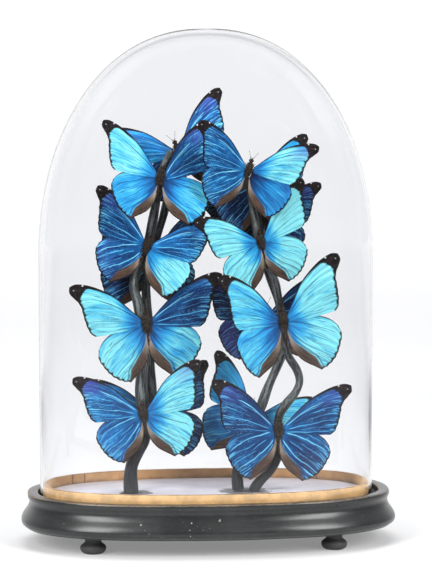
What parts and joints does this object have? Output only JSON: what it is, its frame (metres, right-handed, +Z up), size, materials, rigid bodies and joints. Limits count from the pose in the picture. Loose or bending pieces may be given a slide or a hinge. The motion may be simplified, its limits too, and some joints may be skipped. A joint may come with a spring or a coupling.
{
  "type": "insect in glass dome",
  "caption": "Blue morpho butterflies pinned to dark branches under an oval glass dome, on a moulded ebonised oval base with bun feet.",
  "frame": {"origin": "on the ground under the centre of the oval base", "axes": "+Z up, +X to the viewer's right along the oval's long axis, -Y towards the viewer, the side that the blue wings face"},
  "size_m": [0.3796, 0.21, 0.517],
  "materials": {
    "ebonised_wood": "satin black, worn to brown at the edges",
    "gilt_wood": "aged gilt, satin",
    "floor_paper": "matt pale lavender grey",
    "clear_glass": "clear blown glass",
    "dark_branch": "charcoal black, dull sheen",
    "morpho_wing": "iridescent blue scales above, brown below"
  },
  "bodies": {
    "root": {"wooden_base": "ebonised_wood", "foot_front_left": "ebonised_wood", "foot_front_right": "ebonised_wood", "foot_back_left": "ebonised_wood", "foot_back_right": "ebonised_wood", "gilt_band": "gilt_wood", "floor_board": "floor_paper", "glass_dome": "clear_glass", "left_branch": "dark_branch", "left_side_branch": "dark_branch", "right_front_branch": "dark_branch", "right_back_branch": "dark_branch", "butterfly_left_top": "morpho_wing", "butterfly_left_upper": "morpho_wing", "butterfly_left_middle": "morpho_wing", "butterfly_left_bottom": "morpho_wing", "butterfly_right_top": "morpho_wing", "butterfly_right_upper": "morpho_wing", "butterfly_right_middle": "morpho_wing", "butterfly_right_bottom": "morpho_wing", "butterfly_back_crown": "morpho_wing", "butterfly_back_right_top": "morpho_wing", "butterfly_back_right_upper": "morpho_wing", "butterfly_back_left_upper": "morpho_wing", "butterfly_back_right_middle": "morpho_wing", "butterfly_back_left_bottom": "morpho_wing", "butterfly_back_right_bottom": "morpho_wing"}
  },
  "joints": []
}
